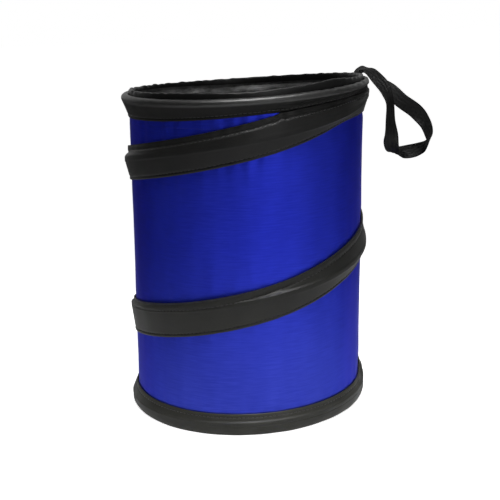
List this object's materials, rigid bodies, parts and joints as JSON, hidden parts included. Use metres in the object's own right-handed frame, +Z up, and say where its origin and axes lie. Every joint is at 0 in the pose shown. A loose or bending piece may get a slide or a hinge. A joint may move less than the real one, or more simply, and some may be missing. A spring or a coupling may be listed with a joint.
{
  "type": "car trash bin",
  "caption": "Collapsible round fabric trash bin for a car, held open by a coil of spring wire in sewn tape, with a waterproof lining and a webbing carry strap.",
  "frame": {"origin": "centre of the base panel's underside, on the floor that the bin stands on", "axes": "+Z up, +X towards the carry strap, -Y towards the front that the picture shows; the tube's axis leans 33 mm towards +X for each metre of height"},
  "size_m": [0.2327, 0.1772, 0.2413],
  "materials": {
    "shell": "satin",
    "lining": "crinkled coated",
    "tape": "woven tape",
    "base_panel": "matte",
    "webbing": "ribbed webbing",
    "steel": "drawn"
  },
  "bodies": {
    "base": {"base_panel": "base_panel", "base_lining": "lining", "base_tape": "tape", "outer_shell": "shell", "inner_lining": "lining", "spring_wire": "steel", "lower_ferrule": "steel", "coil_tape": "tape"},
    "rim": {"rim_tape": "tape", "hem_binding": "tape", "upper_ferrule": "steel", "carry_strap": "webbing"}
  },
  "joints": [
    {"name": "collapse", "type": "slide", "parent": "base", "child": "rim", "axis": [0, 0, 1], "range_m": [-0.195, 0], "stiffness_N_per_m": 60, "springref_m": 0.05, "deforming": ["outer_shell", "inner_lining", "spring_wire", "coil_tape", "carry_strap"]}
  ]
}
